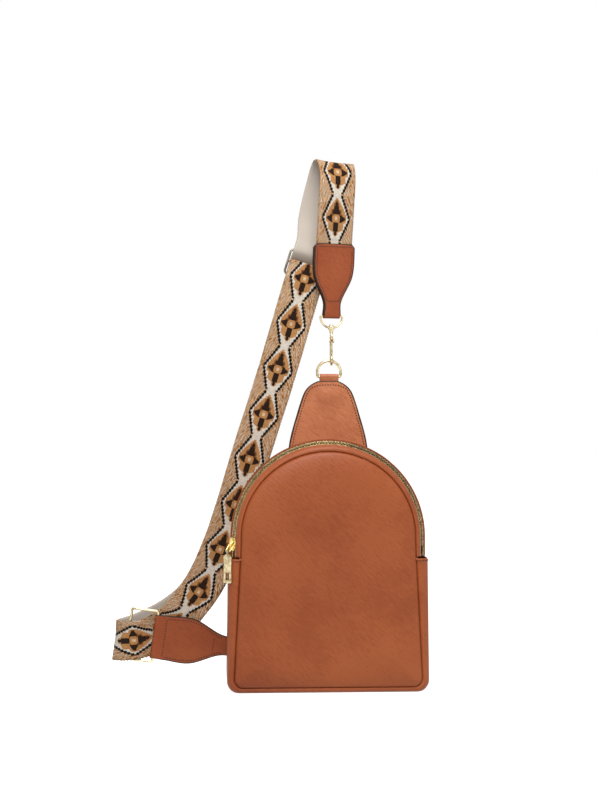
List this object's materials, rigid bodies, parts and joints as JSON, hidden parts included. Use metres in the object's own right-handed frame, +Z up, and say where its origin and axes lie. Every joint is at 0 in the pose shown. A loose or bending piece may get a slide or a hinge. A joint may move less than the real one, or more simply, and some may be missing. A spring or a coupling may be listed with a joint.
{
  "type": "sling bag",
  "caption": "Arched single-compartment sling bag with a zipped gusset, a zip pull, a patterned webbing shoulder strap, a snap hook, rings and stitched end tabs",
  "frame": {"origin": "middle of the flat base that the bag stands on", "axes": "+X to the right in the picture, +Y from the front to the back of the bag, +Z up"},
  "size_m": [0.3239, 0.1163, 0.5493],
  "materials": {
    "tan_leather": "smooth grained faux leather",
    "lining_cloth": "plain woven lining",
    "zip_tape": "woven zip tape",
    "antique_brass": "antique brass",
    "yellow_gold": "polished yellow metal",
    "pale_gold": "polished pale metal",
    "dark_metal": "dark metal",
    "webbing": "patterned jacquard webbing"
  },
  "bodies": {
    "bag": {"front_panel": "tan_leather", "back_panel": "tan_leather", "lower_gusset": "tan_leather", "front_zip_facing": "tan_leather", "rear_zip_facing": "tan_leather", "lining": "lining_cloth", "zip_tape_front": "zip_tape", "zip_tape_rear": "zip_tape", "zip_teeth_front": "antique_brass", "zip_teeth_rear": "antique_brass", "top_tab_front": "tan_leather", "top_tab_back": "tan_leather", "ring_loop": "tan_leather", "upper_end_tab": "tan_leather", "strap": "webbing", "strap_adjuster": "dark_metal", "lower_end_tab": "tan_leather"},
    "slider": {"zip_slider": "yellow_gold"},
    "link": {"pull_link": "yellow_gold"},
    "tab": {"pull_tab": "pale_gold"},
    "ring": {"top_ring": "pale_gold"},
    "eye": {"snap_eye": "pale_gold"},
    "hook": {"snap_hook": "pale_gold", "gate_pin": "pale_gold"},
    "gate": {"hook_gate": "pale_gold"},
    "strap_ring": {"lower_ring": "pale_gold"}
  },
  "joints": [
    {"name": "zip_travel", "type": "hinge", "parent": "bag", "child": "slider", "pos_m": [0, 0, 0.156], "axis": [0, 1, 0], "range_deg": [0, 184], "deforming": ["zip_teeth_front", "zip_teeth_rear", "zip_tape_front", "zip_tape_rear"]},
    {"name": "pull_link_swing", "type": "hinge", "parent": "slider", "child": "link", "pos_m": [-0.09708, -0.03228, 0.149], "axis": [-0.7071, 0.7071, 0], "range_deg": [0, 80]},
    {"name": "pull_tab_swing", "type": "hinge", "parent": "link", "child": "tab", "pos_m": [-0.10113, -0.03633, 0.14286], "axis": [-0.7071, 0.7071, 0], "range_deg": [0, 75]},
    {"name": "eye_swing", "type": "hinge", "parent": "bag", "child": "eye", "pos_m": [0.0085, 0.04315, 0.3824], "axis": [0.9397, 0.342, 0], "range_deg": [-3.5, 3.5]},
    {"name": "hook_swivel", "type": "hinge", "parent": "eye", "child": "hook", "pos_m": [0.0085, 0.04315, 0.3698], "axis": [0, 0, 1], "range_deg": [-18, 18]},
    {"name": "gate_opening", "type": "hinge", "parent": "hook", "child": "gate", "pos_m": [0.0085, 0.03835, 0.356], "axis": [1, 0, 0], "range_deg": [0, 25], "stiffness_Nm_per_rad": 0.002, "springref_deg": -11.46},
    {"name": "top_ring_swing", "type": "hinge", "parent": "bag", "child": "ring", "pos_m": [0.006, 0.04315, 0.3185], "axis": [1, 0, 0], "range_deg": [-10, 10]},
    {"name": "lower_ring_swing", "type": "hinge", "parent": "bag", "child": "strap_ring", "pos_m": [-0.17603, 0.04145, 0.04658], "axis": [0.1392, 0, 0.9903], "range_deg": [-1, 1]}
  ],
  "couplings": [
    {"joint": "top_ring_swing", "follows": "eye_swing", "ratio": -2.63}
  ]
}
